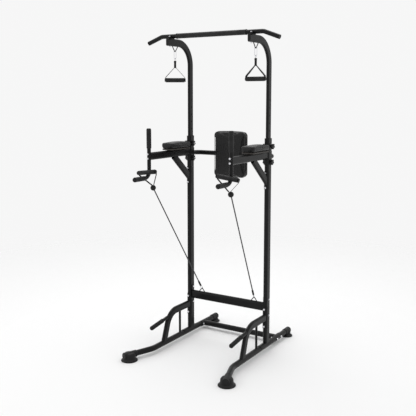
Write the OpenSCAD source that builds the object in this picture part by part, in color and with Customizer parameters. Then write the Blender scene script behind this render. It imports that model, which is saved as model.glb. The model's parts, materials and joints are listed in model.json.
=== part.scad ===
// Power tower: a free-standing frame for pull-ups, dips, knee raises and push-ups.
// Millimetres, +Z up, the user faces the frame from -Y, the uprights stand at +/-X.
// Origin: on the floor, below the middle of the whole frame.

/* [Overall] */
// Height of the pull-up bar's grip above the floor
overall_h = 2117; // [1900:1:2600]
// Length over the feet, front to back
base_depth = 1056; // [860:1:1300]
// Distance between the two uprights, centre to centre
upright_gap = 608; // [500:1:760]
// Distance from the uprights back to the rear edge of the rear feet
rear_reach = 366; // [300:1:440]
// Height of the lower uprights' top edge
upright_top = 1400; // [1300:1:1500]
// Overall width of the pull-up bar
bar_width = 970; // [900:1:1200]

/* [Tubes] */
// Lower upright, long side of the flat-oval tube
upright_w = 60; // [50:1:75]
// Lower upright, short side of the flat-oval tube
upright_t = 30; // [28:1:38]
// Mast, long side of the flat-oval tube
mast_w = 50; // [40:1:52]
// Mast, short side of the flat-oval tube
mast_t = 20; // [16:0.5:22]
// Wall of every steel tube
wall = 2; // [1.5:0.1:2.5]
// Base rail diameter
rail_d = 38; // [32:1:46]
// Dip arm height
arm_w = 50; // [42:1:60]
// Dip arm thickness
arm_t = 25; // [21:1:30]
// Brace and arch tube, long side
brace_w = 50; // [42:1:60]
// Brace tube, short side
brace_t = 22; // [18:1:24]
// Arch tube, short side
arch_t = 25; // [20:1:28]
// Front post diameter
post_d = 25; // [22:1:30]
// Pull-up bar diameter
bar_d = 28; // [25:1:34]
// Back-rest bar diameter
back_d = 32; // [28:1:38]
// Lower crossbar height
cross_w = 60; // [50:1:70]
// Lower crossbar thickness
cross_t = 30; // [25:1:34]

/* [Grips and pads] */
// Pull-up bar centre grip diameter
bar_grip_d = 33; // [31:1:42]
// Pull-up bar centre grip length
bar_grip_l = 526; // [400:1:540]
// Post grip diameter
post_grip_d = 31; // [28:1:36]
// Hanging and band handle grip diameter
hand_grip_d = 29; // [24:1:34]
// Arm pad width
arm_pad_w = 100; // [80:1:120]
// Arm pad length
arm_pad_l = 230; // [180:1:260]
// Arm pad thickness
arm_pad_t = 42; // [30:1:55]
// Back pad width
back_pad_w = 250; // [200:1:300]
// Back pad height
back_pad_h = 322; // [270:1:400]
// Back pad thickness
back_pad_t = 47; // [35:1:60]

/* [Adjustment] */
// Distance between two adjustment holes in the masts
hole_pitch = 50; // [40:1:60]
// Number of steps that the masts can be lowered by
hole_steps = 6; // [3:1:6]
// Radius of the lock pin
pin_r = 4; // [3:0.5:4.5]

/* [Hidden] */
$fn = 48;

// named clearances
slide_gap = 0.05;   // running fits: mast in bush, pins, grips on their cores
seat_gap = 0.05;    // static sleeves, brackets and boots on their tubes
free_gap = 0.3;     // between pieces that pass each other
bolt_gap = 0.2;     // bolts in their holes

// fasteners
bolt_r = 4;
head_r = 7;
head_h = 5;
plate_t = 3;

// base
upright_y = base_depth/2 - rear_reach;
ux = upright_gap/2;
foot_front_r = 55;
foot_rear_r = 42;
boot_h = 61;
rail_z = rail_d/2 + 18;
splay = 20;
splay_len = 184;
splay_bend = 180;
foot_y = -(base_depth - rear_reach) + foot_front_r;
foot_x = ux + splay_len*sin(splay);
splay_y = foot_y + splay_len*cos(splay);
foot_in_front = 22;
foot_in_rear = 14;
rear_foot_y = rear_reach - foot_rear_r;
rear_bar_y = 165;
rear_plate_l = 84;
rear_bolt_y = 30;
saddle_front = 105;
saddle_rear = 62;

// lower crossbar and arches
cross_z = 300;
cross_bolt = 55;
arch_z = 232;
arch_bend = 110;
arch_lean = 70;
arch_corner = 267;
arch_plate_h = 150;
arch_bolt = 59;
strut_r = 8;
strut_y = -143;
push_d = 22;
push_grip_d = 28;
push_grip_l = 130;
push_y = -478;
push_z = 179;
push_root_y = -285;
push_root_z = 206;

// dip arms, posts, pads
arm_z = upright_top - 75;
arm_reach = 471.5;
post_y = -(arm_reach + post_d/2);
bracket_top = upright_top - 6;
bracket_low = upright_top - 138;
knob_z = upright_top - 119;
brace_root_z = upright_top - 247;
brace_arm_y = -207;
brace_bolt = brace_w/2 + 23;
brace_plate_h = 2*brace_bolt + 22;
brace_plate_z = brace_root_z + 8;
pad_plate_w = 60;
pad_plate_l = 180;
pad_y = -175;
board_t = 9;
board_inset = 6;
post_top = upright_top + 100;
post_low = upright_top - 212;
post_bend = 45;
post_tip = post_y - 154;
post_grip_l = 124;
post_bolt = 14;
low_grip_l = 104;

// back rest
back_z = upright_top - 85;
back_y = upright_w/2 + 50;
back_bend = 40;
back_plate_h = 76;
back_bolt = 29;
back_board_t = 9;
back_pad_corner = 34;
tab_x = 60;

// masts and bar
lock_z = upright_top - 16;
collar_h = 36;
collar_t = 2;
skirt_h = 10;
spigot_h = 9;
mast_low = upright_top - 260;
guide_h = 40;
bar_z = overall_h - bar_grip_d/2;
neck_z = bar_z - bar_d/2 - mast_w/2;
neck_bend = 145;
neck_front = -268;
bar_y = -225;
bar_drop = 20;
bar_corner = bar_width/2 - 106;
bar_bend = 60;
cradle_h = 11;
cradle_bolt_y = bar_y - 20;

// wire eyes
wire_r = 3;
wire_bend = 9;
eye_y = -184;
eye_half = 33;
eye_drop = 41;
eye_slope = atan(eye_half/eye_drop);
eye_root_z = neck_z - mast_w/2 + 3.5;
eye_z = eye_root_z - eye_drop + wire_bend/sin(eye_slope) - wire_bend;
low_eye_x = ux - 95;
low_eye_half = 25;
low_eye_rise = 33;
low_eye_slope = atan(low_eye_half/low_eye_rise);
low_eye_root_z = cross_z + cross_w/2 - 6;
low_eye_z = low_eye_root_z + low_eye_rise - wire_bend/sin(low_eye_slope) + wire_bend;

// snap hooks, rings and hanging handles
hook_r = 2.2;
hook_half = 8;
hook_len = 53;
hook_top = eye_z + wire_r + hook_r + free_gap;
hook_low = hook_top - hook_len;
gate_low = hook_low + 11;
gate_high = hook_top - 15;
gate_r = 1.8;
gate_pivot = gate_low + 3;
ring_r = 1.8;
ring_bend = 7;
ring_z = hook_low + hook_r + ring_r + free_gap - ring_bend;
collar_r = 8.5;
collar_len = 47;
collar_top = ring_z - ring_bend;
web_w = 25;
web_t = 3;
web_knee = hand_grip_d/2 + 3;
core_r = 5;
hand_half = 65;
hand_rise = 85;
hand_z = collar_top - collar_len - hand_rise;
turn_left = 32;
turn_right = 2;

// elastic bands
ball_r = 18;
ball = [ux - 14, post_y + 22, post_low - 68];
grip_at = [ux - 5, post_y - 33, post_low + 37];
grip_tip = 8;
grip_lean = atan((ball[1] - grip_at[1])/(grip_at[2] - ball[2]));
band_half = 72;
band_web_w = 10;
band_rise = norm([0, ball[1] - grip_at[1], grip_at[2] - ball[2]]);
low_eye = [low_eye_x, 0, low_eye_z];
cord_d = 8;
cord_in = 5;
cord_hook_half = 6;
cord_hook_len = 36;
cord_hook_r = 2;
cord_hook_back = wire_r + cord_hook_r + free_gap;
sleeve_r = 6.5;
sleeve_len = 40;
sleeve_start = cord_hook_len - cord_hook_back - 3;

// knobs
knob_r = 13.5;
lobe_r = 5.2;
knob_h = 13;
pin_travel = 4.5;
barrel_r = 9;
barrel_l = 7;

// ---- outlines ----
module oval(w, t) {
    square([w - t, t], center = true);
    for (s = [-1, 1]) translate([s*(w - t)/2, 0]) circle(d = t);
}

module oval_ring(w, t) {
    difference() {
        oval(w, t);
        oval(w - 2*wall, t - 2*wall);
    }
}

module round_ring(d) {
    difference() {
        circle(d = d);
        circle(d = d - 2*wall);
    }
}

module rounded(w, h, r) {
    square([w - 2*r, h], center = true);
    square([w, h - 2*r], center = true);
    for (x = [-1, 1]) for (y = [-1, 1])
        translate([x*(w/2 - r), y*(h/2 - r)]) circle(r = r);
}

module star() {
    circle(r = knob_r);
    for (k = [0:4]) rotate(72*k) translate([knob_r, 0]) circle(r = lobe_r);
}

// a straight strip from p to q with round ends
module strip(p, q, t) {
    d = q - p;
    translate(p) rotate(atan2(d[1], d[0])) {
        translate([0, -t/2]) square([norm(d), t]);
        circle(d = t);
        translate([norm(d), 0]) circle(d = t);
    }
}

// ---- runs of tube ----
function heading(p, q) = atan2(q[1] - p[1], q[0] - p[0]);
function wrap(a) = a > 180 ? a - 360 : a < -180 ? a + 360 : a;
function turn(pts, i) = wrap(heading(pts[i], pts[i + 1]) - heading(pts[i - 1], pts[i]));
function cut(pts, i, r) = i == 0 || i == len(pts) - 1 ? 0 : r*tan(abs(turn(pts, i))/2);

// A bent tube in the XY plane: straight lengths through pts, joined by bends of
// centreline radius r. The child is the section, its first axis in the plane.
// Straight lengths reach into the bends, whose section is a hair larger, as where
// a tube swells in bending, so every joint overlaps.
bend_lap = 0.3;
bend_swell = 1.004;
wire_swell = 1.03;
module run(pts, r, swell = bend_swell) {
    translate([pts[0][0], pts[0][1], 0]) rotate([0, 0, heading(pts[0], pts[1])])
        walk(pts, r, swell, 0) children();
}

// the length from point i on, in a frame whose +X points along it
module walk(pts, r, swell, i) {
    l = norm(pts[i + 1] - pts[i]) - cut(pts, i, r) - cut(pts, i + 1, r);
    lap0 = i > 0 ? bend_lap : 0;
    lap1 = i < len(pts) - 2 ? bend_lap : 0;
    translate([-lap0, 0, 0]) rotate([90, 0, 90]) linear_extrude(l + lap0 + lap1) children();
    if (i < len(pts) - 2) {
        t = turn(pts, i + 1);
        s = t > 0 ? 1 : -1;
        translate([l, s*r, 0]) {
            rotate([0, 0, s > 0 ? -90 : 90 + t]) rotate_extrude(angle = abs(t))
                translate([r, 0]) scale(swell) children();
            rotate([0, 0, t]) translate([0, -s*r, 0]) walk(pts, r, swell, i + 1) children();
        }
    }
}

// plane (y, z): a run drawn in XY stands in the side plane
module side_plane() { rotate([90, 0, 90]) children(); }
// plane (x, z): a run drawn in XY stands facing the front
module front_plane() { rotate([90, 0, 0]) children(); }

module placed() { translate([0, upright_y, 0]) children(); }
module on_side(s) {
    if (s > 0) children();
    else mirror([1, 0, 0]) children();
}
module both() {
    children();
    mirror([1, 0, 0]) children();
}
module at_upright() { translate([ux, 0, 0]) children(); }

// a bolt along +Z: hexagon head below z = 0, shank above
module bolt(l, r = bolt_r, hr = head_r) {
    translate([0, 0, -head_h]) cylinder(r = hr, h = head_h + 0.01, $fn = 6);
    cylinder(r = r, h = l);
}
module to_back() { rotate([-90, 0, 0]) children(); }
module to_front() { rotate([90, 0, 0]) children(); }
module outward() { rotate([0, 90, 0]) children(); }
module inward() { rotate([0, -90, 0]) children(); }

// ---- shapes that other pieces are cut to ----
module upright_space(z0, z1) {
    at_upright() translate([0, 0, z0]) linear_extrude(z1 - z0)
        rotate(90) oval(upright_w + 2*seat_gap, upright_t + 2*seat_gap);
}

// a plate of plate_t that follows the upright's outside
module upright_wrap(z0, z1) {
    at_upright() translate([0, 0, z0]) linear_extrude(z1 - z0)
        rotate(90) oval(upright_w + 2*plate_t + 2*seat_gap, upright_t + 2*plate_t + 2*seat_gap);
}

module slab_y(y0, y1, z0, z1) {
    translate([ux - 60, y0, z0]) cube([120, y1 - y0, z1 - z0]);
}

module rail_space() {
    bend_end = splay_y + splay_bend*tan(splay/2);
    translate([ux, bend_end, rail_z]) to_back()
        cylinder(d = rail_d + 2*seat_gap, h = rear_foot_y - bend_end, $fn = 64);
}

rail_path = [
    [ux, rear_foot_y + foot_in_rear],
    [ux, splay_y],
    [foot_x + foot_in_front*sin(splay), foot_y - foot_in_front*cos(splay)]
];
arch_path = [
    [-upright_w/2 + 4, arch_z],
    [-arch_corner, arch_z],
    [-arch_corner - (arch_z - rail_z)/tan(arch_lean), rail_z]
];
post_path = [[post_y, post_top], [post_y, post_low], [post_tip, post_low]];
mast_path = [[0, mast_low], [0, neck_z], [neck_front, neck_z]];
bar_tip = [bar_width/2, bar_z - 106*tan(bar_drop)];
bar_path = [
    [-bar_tip[0], bar_tip[1]], [-bar_corner, bar_z],
    [bar_corner, bar_z], [bar_tip[0], bar_tip[1]]
];
back_path = [
    [-ux, upright_w/2 - 6], [-ux, back_y],
    [ux, back_y], [ux, upright_w/2 - 6]
];

// ---- base ----
module rail(s) {
    color("dimgray") placed() on_side(s) translate([0, 0, rail_z]) difference() {
        run(rail_path, splay_bend) round_ring(rail_d);
        for (y = [-rear_bolt_y, rear_bolt_y]) translate([ux - rail_d, rear_bar_y + y, 0])
            outward() cylinder(r = bolt_r + bolt_gap, h = 2*rail_d);
    }
}
module rail_left() { rail(-1); }
module rail_right() { rail(1); }

module boot(r, depth) {
    difference() {
        rotate_extrude($fn = 96) polygon([
            [0, 0], [r, 0], [r, 5], [r - 12, 17], [r - 14, boot_h - 13],
            [r - 22, boot_h - 2], [0, boot_h]
        ]);
        translate([0, depth, rail_z]) to_front()
            cylinder(d = rail_d + 2*seat_gap, h = depth + r + 10, $fn = 64);
    }
}

module feet() {
    color("black") placed() both() {
        translate([foot_x, foot_y, 0]) rotate([0, 0, 180 + splay]) boot(foot_front_r, foot_in_front);
        translate([ux, rear_foot_y, 0]) boot(foot_rear_r, foot_in_rear);
    }
}

module rear_crossbar() {
    color("dimgray") placed() {
        difference() {
            translate([-ux, rear_bar_y, rail_z]) outward()
                linear_extrude(2*ux) round_ring(rail_d);
            both() translate([ux, rear_bar_y - rail_d, rail_z]) to_back()
                cylinder(r = rail_d/2 + seat_gap + plate_t/2, h = 2*rail_d);
        }
        both() difference() {
            translate([ux, rear_bar_y - rear_plate_l/2, rail_z]) to_back()
                linear_extrude(rear_plate_l) difference() {
                    circle(r = rail_d/2 + seat_gap + plate_t);
                    circle(r = rail_d/2 + seat_gap);
                    translate([-5, -60]) square([120, 120]);
                }
            translate([ux, rear_bar_y, rail_z]) for (y = [-rear_bolt_y, rear_bolt_y])
                translate([0, y, 0]) inward() cylinder(r = bolt_r + bolt_gap, h = 60);
        }
    }
}

module lower_crossbar() {
    color("dimgray") placed() {
        half = ux - upright_t/2 - seat_gap;
        difference() {
            union() {
                translate([-half + 1, 0, cross_z]) outward()
                    linear_extrude(2*half - 2) oval_ring(cross_w, cross_t);
                both() translate([half - plate_t, -cross_t/2, cross_z - cross_bolt - 14])
                    cube([plate_t, cross_t, 2*cross_bolt + 28]);
            }
            both() for (z = [-cross_bolt, cross_bolt]) translate([half - 20, 0, cross_z + z])
                outward() cylinder(r = bolt_r + bolt_gap, h = 40);
        }
    }
}

module arch(s) {
    color("dimgray") placed() on_side(s) difference() {
        union() {
            at_upright() side_plane() run(arch_path, arch_bend) oval_ring(brace_w, arch_t);
            intersection() {
                upright_wrap(arch_z - arch_plate_h/2, arch_z + arch_plate_h/2);
                slab_y(-60, -cross_t/2 - free_gap, 0, 600);
            }
            translate([ux, strut_y, rail_z]) cylinder(r = strut_r, h = arch_z - brace_w/2 + 4 - rail_z);
        }
        upright_space(0, 600);
        rail_space();
        for (z = [-arch_bolt, arch_bolt]) translate([ux, -upright_w/2 - 20, arch_z + z])
            to_back() cylinder(r = bolt_r + bolt_gap, h = 30);
    }
}
module arch_left() { arch(-1); }
module arch_right() { arch(1); }

// position along a push-up bar, from its root in the arch
push_len = norm([push_y - push_root_y, push_z - push_root_z]);
push_tilt = atan2(push_z - push_root_z, push_y - push_root_y);
module on_push_bar(d) {
    at_upright() side_plane() translate([push_root_y, push_root_z, 0]) rotate([0, 0, push_tilt])
        translate([d, 0, 0]) rotate([0, 90, 0]) children();
}

module pushup_bars() {
    color("dimgray") placed() both() difference() {
        on_push_bar(0) linear_extrude(push_len) round_ring(push_d);
        at_upright() side_plane() run(arch_path, arch_bend)
            oval(brace_w + 2*seat_gap, arch_t + 2*seat_gap);
    }
}

module pushup_grips() {
    color("black") placed() both() on_push_bar(push_len - push_grip_l)
        linear_extrude(push_grip_l) difference() {
            circle(d = push_grip_d);
            circle(d = push_d + 2*seat_gap);
        }
}

// ---- uprights ----
module upright(s) {
    color("gray") placed() on_side(s) {
        difference() {
            at_upright() translate([0, 0, rail_z])
                linear_extrude(upright_top - rail_z) rotate(90) oval_ring(upright_w, upright_t);
            translate([ux, -upright_w, rail_z]) to_back()
                cylinder(r = rail_d/2 + seat_gap + plate_t/2, h = 2*upright_w);
            translate([ux, 0, lock_z]) outward() cylinder(r = pin_r + free_gap, h = upright_t);
            translate([ux, 0, lock_z]) inward() cylinder(r = bolt_r + bolt_gap, h = upright_t);
            translate([ux, 0, knob_z]) outward() cylinder(r = bolt_r + slide_gap, h = upright_t);
            translate([ux, 0, knob_z]) inward() cylinder(r = bolt_r + bolt_gap, h = upright_t);
            for (z = [-cross_bolt, cross_bolt]) translate([ux - upright_t, 0, cross_z + z])
                outward() cylinder(r = bolt_r + bolt_gap, h = 2*upright_t);
            for (z = [-arch_bolt, arch_bolt]) translate([ux, 0, arch_z + z])
                to_front() cylinder(r = bolt_r + bolt_gap, h = upright_w);
            for (z = [-brace_bolt, brace_bolt]) translate([ux, 0, brace_plate_z + z])
                to_front() cylinder(r = bolt_r + bolt_gap, h = upright_w);
            for (z = [-back_bolt, back_bolt]) translate([ux, 0, back_z + z])
                to_back() cylinder(r = bolt_r + bolt_gap, h = upright_w);
        }
        translate([ux, -saddle_front, rail_z]) to_back() linear_extrude(saddle_front + saddle_rear)
            difference() {
                circle(r = rail_d/2 + seat_gap + plate_t);
                circle(r = rail_d/2 + seat_gap);
                translate([-60, -4]) square([120, 70]);
            }
    }
}
module upright_left() { upright(-1); }
module upright_right() { upright(1); }

module bushes() {
    color("black") placed() both() at_upright() {
        difference() {
            union() {
                translate([0, 0, upright_top]) linear_extrude(collar_h)
                    rotate(90) oval(upright_w + 2*collar_t, upright_t + 2*collar_t);
                translate([0, 0, upright_top - spigot_h]) linear_extrude(spigot_h + 1)
                    rotate(90) oval(upright_w - 2*wall - 2*seat_gap, upright_t - 2*wall - 2*seat_gap);
            }
            translate([0, 0, upright_top - 60]) linear_extrude(200)
                rotate(90) oval(mast_w + 2*slide_gap, mast_t + 2*slide_gap);
        }
    }
}

module pin_barrels() {
    color("dimgray") placed() both() translate([ux + upright_t/2 + seat_gap, 0, lock_z]) outward()
        difference() {
            cylinder(r = barrel_r, h = barrel_l);
            translate([0, 0, -1]) cylinder(r = pin_r + slide_gap, h = barrel_l + 2);
        }
}

// ---- dip arms ----
module arm_solid(inset) {
    at_upright() side_plane() run([[post_y, arm_z], [-20, arm_z]], 1)
        oval(arm_w - 2*inset, arm_t - 2*inset);
}

module arm(s) {
    brace_path = [[brace_arm_y, arm_z - arm_w/2 + 8], [-14, brace_root_z - 6]];
    color("dimgray") placed() on_side(s) difference() {
        union() {
            intersection() {
                upright_wrap(bracket_low, bracket_top);
                slab_y(-60, upright_w/2 - upright_t/2, 0, upright_top);
            }
            at_upright() side_plane() run([[post_y, arm_z], [-20, arm_z]], 1) oval_ring(arm_w, arm_t);
            at_upright() side_plane() run([[post_y + 20, arm_z], [post_y + 32, arm_z]], 1)
                oval(arm_w - wall, arm_t - wall);
            translate([ux - pad_plate_w/2, pad_y - pad_plate_l/2, arm_z + arm_w/2 - plate_t/2])
                cube([pad_plate_w, pad_plate_l, plate_t]);
            difference() {
                at_upright() side_plane() run(brace_path, 1) oval_ring(brace_w, brace_t);
                arm_solid(wall/4);
            }
            intersection() {
                upright_wrap(brace_plate_z - brace_plate_h/2, brace_plate_z + brace_plate_h/2);
                slab_y(-60, -12, 0, upright_top);
            }
        }
        upright_space(0, upright_top + 10);
        translate([ux, post_y, arm_z - arm_w]) cylinder(d = post_d + 2*seat_gap, h = 2*arm_w);
        translate([ux, 0, lock_z]) outward() cylinder(r = barrel_r + bolt_gap, h = 60);
        translate([ux, 0, lock_z]) inward() cylinder(r = bolt_r + bolt_gap, h = 60);
        translate([ux, 0, knob_z]) outward() cylinder(r = bolt_r + slide_gap, h = 60);
        translate([ux, 0, knob_z]) inward() cylinder(r = bolt_r + bolt_gap, h = 60);
        for (z = [-post_bolt, post_bolt]) translate([ux, post_y, arm_z + z])
            to_back() cylinder(r = bolt_r + bolt_gap, h = 50);
        for (z = [-brace_bolt, brace_bolt]) translate([ux, -upright_w/2 - 20, brace_plate_z + z])
            to_back() cylinder(r = bolt_r + bolt_gap, h = 30);
    }
}
module arm_left() { arm(-1); }
module arm_right() { arm(1); }

board_z = arm_z + arm_w/2 + plate_t/2;
module pad_boards() {
    color("saddlebrown") placed() both() translate([ux, pad_y, board_z])
        linear_extrude(board_t) rounded(arm_pad_w - 2*board_inset, arm_pad_l - 2*board_inset, 14);
}

module arm_pad(s) {
    color("#222222") placed() on_side(s) translate([ux, pad_y, board_z + board_t])
        linear_extrude(arm_pad_t) rounded(arm_pad_w, arm_pad_l, 18);
}
module arm_pad_left() { arm_pad(-1); }
module arm_pad_right() { arm_pad(1); }

module post(s) {
    color("dimgray") placed() on_side(s) difference() {
        at_upright() side_plane() run(post_path, post_bend) round_ring(post_d);
        for (z = [-post_bolt, post_bolt]) translate([ux, post_y - 30, arm_z + z])
            to_back() cylinder(r = bolt_r + bolt_gap, h = 60);
    }
}
module post_left() { post(-1); }
module post_right() { post(1); }

module grip_ring() {
    difference() {
        circle(d = post_grip_d);
        circle(d = post_d + 2*seat_gap);
    }
}

module post_grips() {
    color("black") placed() both() at_upright() {
        translate([0, post_y, post_top - post_grip_l]) linear_extrude(post_grip_l) grip_ring();
        translate([0, post_tip, post_low]) to_back() linear_extrude(low_grip_l) grip_ring();
    }
}

// ---- back rest ----
tab_y = back_y - back_d/2 - 2;
module back_bar() {
    color("dimgray") placed() difference() {
        union() {
            translate([0, 0, back_z]) run(back_path, back_bend) round_ring(back_d);
            both() intersection() {
                upright_wrap(back_z - back_plate_h/2, back_z + back_plate_h/2);
                slab_y(upright_w/2 - upright_t/2 + 2, 60, 0, upright_top + 60);
            }
            both() translate([tab_x - 20, tab_y, back_z - 30]) cube([40, 5, 60]);
        }
        both() upright_space(0, upright_top + 60);
        both() for (z = [-back_bolt, back_bolt]) translate([ux, upright_w/2 - 10, back_z + z])
            to_back() cylinder(r = bolt_r + bolt_gap, h = 40);
    }
}

module back_board() {
    color("saddlebrown") placed() translate([0, tab_y, back_z]) to_front()
        linear_extrude(back_board_t) rounded(back_pad_w - 16, back_pad_h - 16, back_pad_corner - 6);
}

module back_pad() {
    color("#222222") placed() translate([0, tab_y - back_board_t, back_z]) to_front()
        linear_extrude(back_pad_t) rounded(back_pad_w, back_pad_h, back_pad_corner);
}

// ---- wire eyes ----
module crossbar_eyes() {
    color("silver") placed() both() difference() {
        translate([low_eye_x, 0, 0]) front_plane() run([
            [-low_eye_half, low_eye_root_z],
            [0, low_eye_root_z + low_eye_rise],
            [low_eye_half, low_eye_root_z]
        ], wire_bend, wire_swell) circle(r = wire_r);
        translate([low_eye_x - 60, -20, cross_z]) cube([120, 40, cross_w/2]);
    }
}

module mast_eyes() {
    color("silver") placed() both() difference() {
        at_upright() side_plane() run([
            [eye_y - eye_half, eye_root_z],
            [eye_y, eye_root_z - eye_drop],
            [eye_y + eye_half, eye_root_z]
        ], wire_bend, wire_swell) circle(r = wire_r);
        translate([ux - 20, eye_y - 60, neck_z - mast_w/2]) cube([40, 120, 40]);
    }
}

// a closed oval loop of round wire in the local XZ plane, its foot at z = 0
module loop(half, l, r) {
    front_plane() {
        for (s = [-1, 1]) translate([s*half, half, 0]) rotate([-90, 0, 0]) cylinder(r = r, h = l - 2*half);
        translate([0, half, 0]) rotate([0, 0, 180]) rotate_extrude(angle = 180)
            translate([half, 0]) circle(r = r);
        translate([0, l - half, 0]) rotate_extrude(angle = 180) translate([half, 0]) circle(r = r);
    }
}

// ---- elastic cords ----
// frame whose Z runs from the lower eye to the ball
module along_cord(d) {
    v = ball - low_eye;
    translate(low_eye) rotate([0, acos(v[2]/norm(v)), atan2(v[1], v[0])]) translate([0, 0, d]) children();
}
cord_start = sleeve_start + sleeve_len;
cord_end = norm(ball - low_eye) - ball_r;

module cord_hooks() {
    color("silver") placed() both() along_cord(-cord_hook_back)
        loop(cord_hook_half, cord_hook_len, cord_hook_r);
}

module cord_sleeves() {
    color("black") placed() both() difference() {
        along_cord(sleeve_start) cylinder(r = sleeve_r, h = sleeve_len);
        along_cord(-cord_hook_back) loop(cord_hook_half, cord_hook_len, cord_hook_r + seat_gap);
    }
}

module cord(s) {
    color("darkslategray") placed() on_side(s) along_cord(cord_start)
        cylinder(d = cord_d, h = cord_end - cord_start + cord_in);
}
module cord_left() { cord(-1); }
module cord_right() { cord(1); }

// ---- webbing handles ----
// webbing in the local XZ plane round a grip along X, its legs meeting at z = rise
module webbing(half, rise, gap, w) {
    outward() cylinder(r = core_r, h = half);
    inward() cylinder(r = core_r, h = half);
    to_front() translate([0, 0, -w/2]) linear_extrude(w) for (s = [-1, 1]) {
        strip([s*half, -core_r - 4], [s*half, web_knee], web_t);
        strip([s*half, web_knee], [s*gap, rise], web_t);
    }
}

module tube_grip(half) {
    l = half - web_t/2 - free_gap;
    outward() translate([0, 0, -l]) difference() {
        cylinder(d = hand_grip_d, h = 2*l);
        translate([0, 0, -1]) cylinder(r = core_r + slide_gap, h = 2*l + 2);
    }
}

module at_hand(s) {
    translate([ux, eye_y, hand_z]) rotate([0, 0, s > 0 ? turn_right : -turn_left]) children();
}

module strap(s) {
    color("black") placed() on_side(s) at_hand(s) {
        webbing(hand_half, hand_rise - 2, 3, web_w);
        translate([0, 0, hand_rise - 4]) difference() {
            cylinder(r = collar_r, h = collar_len);
            translate([0, 0, -1]) cylinder(r = 1, h = 1);
        }
    }
}
module strap_left() { strap(-1); }
module strap_right() { strap(1); }

module strap_ring(s) {
    color("silver") placed() on_side(s) translate([ux, eye_y, ring_z]) outward()
        rotate_extrude() translate([ring_bend, 0]) circle(r = ring_r);
}
module ring_left() { strap_ring(-1); }
module ring_right() { strap_ring(1); }

module hand_grip(s) {
    color("#333333") placed() on_side(s) at_hand(s) tube_grip(hand_half);
}
module hand_grip_left() { hand_grip(-1); }
module hand_grip_right() { hand_grip(1); }

module at_band() {
    translate(grip_at) rotate([grip_lean, 0, 0]) rotate([0, grip_tip, 0]) children();
}

module yoke(s) {
    color("black") placed() on_side(s) {
        at_band() rotate([0, 180, 0]) webbing(band_half, band_rise - ball_r + 2, 4, band_web_w);
        difference() {
            translate(ball) sphere(r = ball_r);
            along_cord(cord_end - 1) cylinder(d = cord_d + 2*seat_gap, h = cord_in + 1 + free_gap);
        }
    }
}
module yoke_left() { yoke(-1); }
module yoke_right() { yoke(1); }

module band_grip(s) {
    color("#333333") placed() on_side(s) at_band() tube_grip(band_half);
}
module band_grip_left() { band_grip(-1); }
module band_grip_right() { band_grip(1); }

// ---- masts and pull-up bar ----
module mast(s) {
    color("gray") placed() on_side(s) difference() {
        union() {
            at_upright() side_plane() run(mast_path, neck_bend) oval_ring(mast_w, mast_t);
            translate([ux - mast_t/2, bar_y - 30, neck_z + mast_w/2 - 4])
                cube([mast_t, 52, 4 + cradle_h]);
        }
        translate([0, bar_y, bar_z]) outward() cylinder(d = bar_d + 2*seat_gap, h = 2*ux);
        translate([ux, cradle_bolt_y, neck_z - mast_w]) cylinder(r = bolt_r - 0.5 + bolt_gap, h = 2*mast_w);
        for (k = [0:hole_steps]) translate([ux - mast_t, 0, lock_z + k*hole_pitch])
            outward() cylinder(r = pin_r + free_gap + 0.2, h = 2*mast_t);
    }
}
module mast_left() { mast(-1); }
module mast_right() { mast(1); }

module mast_guides() {
    color("black") placed() both() at_upright() {
        translate([0, 0, mast_low - guide_h]) linear_extrude(guide_h)
            rotate(90) oval(upright_w - 2*wall - 2*slide_gap, upright_t - 2*wall - 2*slide_gap);
        translate([0, 0, mast_low - 1]) linear_extrude(21)
            rotate(90) oval(mast_w - 2*wall - 2*seat_gap, mast_t - 2*wall - 2*seat_gap);
    }
}

module plug(d, l) {
    cylinder(d = d, h = 4);
    translate([0, 0, -l]) cylinder(d = d - 2*wall - 2*seat_gap, h = l + 1);
}

module top_caps() {
    color("black") placed() {
        both() at_upright() translate([0, neck_front, neck_z]) to_front() {
            linear_extrude(5) rotate(90) oval(mast_w, mast_t);
            translate([0, 0, -12]) linear_extrude(13)
                rotate(90) oval(mast_w - 2*wall - 2*seat_gap, mast_t - 2*wall - 2*seat_gap);
        }
        both() translate([bar_tip[0], bar_y, bar_tip[1]]) rotate([0, 90 + bar_drop, 0]) plug(bar_d, 14);
    }
}

module tube_caps() {
    color("black") placed() both() {
        at_upright() translate([0, post_y, post_top]) plug(post_d, 14);
        at_upright() translate([0, post_tip, post_low]) to_front() plug(post_d, 14);
        on_push_bar(push_len) plug(push_d, 14);
    }
}

module pullup_bar() {
    color("dimgray") placed() translate([0, bar_y, 0]) front_plane() run(bar_path, bar_bend) round_ring(bar_d);
}

module bar_grip() {
    color("black") placed() translate([-bar_grip_l/2, bar_y, bar_z]) outward()
        linear_extrude(bar_grip_l) difference() {
            circle(d = bar_grip_d);
            circle(d = bar_d + 2*seat_gap);
        }
}

module bar_bolts() {
    color("silver") placed() both() translate([ux, cradle_bolt_y, 0]) {
        translate([0, 0, neck_z + mast_w/2 + cradle_h + 0.01]) mirror([0, 0, 1])
            bolt(mast_w + cradle_h + 7, bolt_r - 0.5, 6);
        translate([0, 0, neck_z - mast_w/2 - 5.02]) difference() {
            cylinder(r = 6, h = 5, $fn = 6);
            translate([0, 0, -1]) cylinder(r = bolt_r - 0.5, h = 7);
        }
    }
}

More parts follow.
